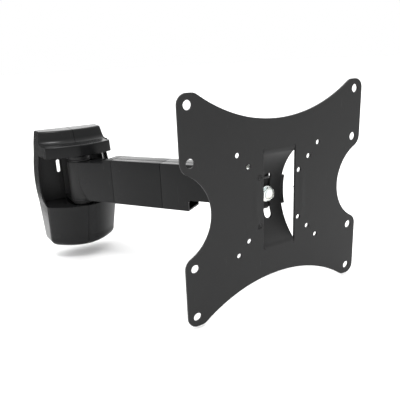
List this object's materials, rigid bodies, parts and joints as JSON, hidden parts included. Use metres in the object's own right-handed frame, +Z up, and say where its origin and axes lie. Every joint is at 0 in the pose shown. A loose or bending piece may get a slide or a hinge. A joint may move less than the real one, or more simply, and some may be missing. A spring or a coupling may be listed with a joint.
{
  "type": "full motion tv wall mount",
  "caption": "Black steel and plastic TV wall mount: a covered wall bracket, a swinging sleeved arm and a swivelling, tilting screen plate with a waisted outline.",
  "frame": {"origin": "on the wall face of the wall plate, on its middle line and level with the pivots", "axes": "+Z up, +Y into the wall, -Y out towards the viewer, +X to the viewer's right; at rest the arm stands out to the right and the screen plate is parallel to the wall"},
  "size_m": [0.2889, 0.2789, 0.22],
  "materials": {
    "black_powder_coat": "matt black powder coat on pressed steel",
    "satin_black_plastic": "satin moulded black plastic with a fine grain",
    "zinc_plate": "bright zinc plate",
    "black_zinc": "black zinc plate",
    "black_nylon": "black nylon"
  },
  "bodies": {
    "wall_bracket": {"wall_plate": "black_powder_coat", "hinge_bracket": "black_powder_coat", "wall_cover_left": "satin_black_plastic", "wall_cover_right": "satin_black_plastic", "hub_bolt": "black_zinc", "hub_nut": "black_zinc", "hub_washer_top": "black_zinc", "hub_washer_bottom": "black_zinc"},
    "arm": {"hub_barrel": "black_powder_coat", "hub_bush_top": "black_nylon", "hub_bush_bottom": "black_nylon", "arm_tube": "black_powder_coat", "head_barrel": "black_powder_coat", "head_bush_top": "black_nylon", "head_bush_bottom": "black_nylon", "arm_knuckle": "satin_black_plastic", "rear_sleeve": "satin_black_plastic", "front_sleeve": "satin_black_plastic", "rear_lid": "satin_black_plastic", "front_lid": "satin_black_plastic"},
    "head": {"head_yoke": "black_powder_coat", "tilt_cradle": "black_powder_coat", "head_bolt": "zinc_plate", "head_nut": "zinc_plate", "head_washer_top": "zinc_plate", "head_washer_bottom": "zinc_plate", "tilt_bolt": "zinc_plate", "tilt_washer": "zinc_plate"},
    "plate": {"screen_plate": "black_powder_coat"}
  },
  "joints": [
    {"name": "wall_swivel", "type": "hinge", "parent": "wall_bracket", "child": "arm", "pos_m": [0, -0.044, 0], "axis": [0, 0, 1], "range_deg": [-124.4, 55.6]},
    {"name": "head_swivel", "type": "hinge", "parent": "arm", "child": "head", "pos_m": [0.12994, -0.23378, 0], "axis": [0, 0, 1], "range_deg": [-55.6, 124.4]},
    {"name": "screen_tilt", "type": "hinge", "parent": "head", "child": "plate", "pos_m": [0.12994, -0.31878, 0], "axis": [1, 0, 0], "range_deg": [-15, 15]}
  ]
}
